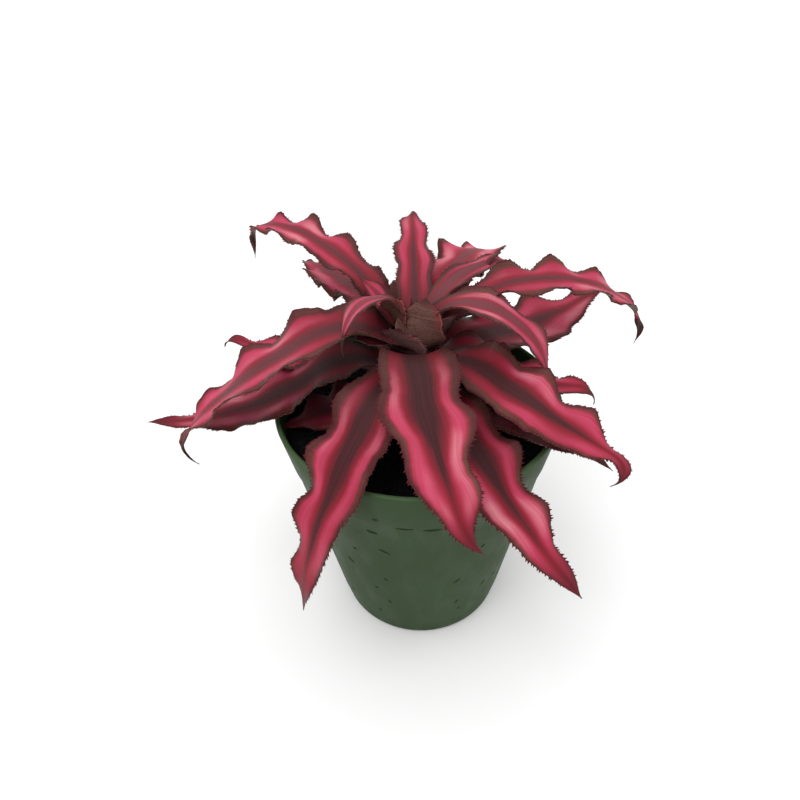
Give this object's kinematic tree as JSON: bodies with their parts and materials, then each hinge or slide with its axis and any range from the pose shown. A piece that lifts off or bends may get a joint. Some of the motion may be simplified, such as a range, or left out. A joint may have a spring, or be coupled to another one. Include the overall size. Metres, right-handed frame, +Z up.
{
  "type": "potted bromeliad",
  "caption": "Low rosette of ruffled, toothed, pink-striped strap leaves on a short stem, growing in dark soil in a round tapered green nursery pot.",
  "frame": {"origin": "centre of the flat underside of the pot", "axes": "+Z up along the pot's axis, -Y towards the front, where the two broad front leaves hang over the rim"},
  "size_m": [0.1852, 0.1598, 0.1506],
  "materials": {
    "pot_plastic": "satin injection-moulded green polypropylene with small scuffs",
    "soil": "moist near-black peat with fine crumbs",
    "stem": "short fibrous brown stem",
    "leaf": "crimson to pink stripes beside a wine-brown centre band, olive-brown toothed margins, grey-brown scurf underneath"
  },
  "bodies": {
    "root": {"pot": "pot_plastic", "potting_soil": "soil", "stem": "stem", "low_leaf_left": "leaf", "low_leaf_back": "leaf", "low_leaf_right": "leaf", "low_leaf_back_left": "leaf", "low_leaf_back_right": "leaf", "outer_leaf_front_right": "leaf", "outer_leaf_right_back": "leaf", "outer_leaf_left_back": "leaf", "outer_leaf_left": "leaf", "outer_leaf_right": "leaf", "outer_leaf_front_left": "leaf", "outer_leaf_back_left": "leaf", "outer_leaf_back_right": "leaf", "broad_leaf_right": "leaf", "broad_leaf_front": "leaf", "tall_leaf_left": "leaf", "broad_leaf_left": "leaf", "tall_leaf_right": "leaf", "tall_leaf_back": "leaf", "inner_leaf_right": "leaf", "inner_leaf_back_right": "leaf", "inner_leaf_left": "leaf", "crown_leaf_outer": "leaf", "inner_leaf_front_left": "leaf", "inner_leaf_back_left": "leaf", "crown_leaf_front": "leaf", "crown_leaf_left": "leaf", "crown_leaf_right": "leaf"}
  },
  "joints": []
}
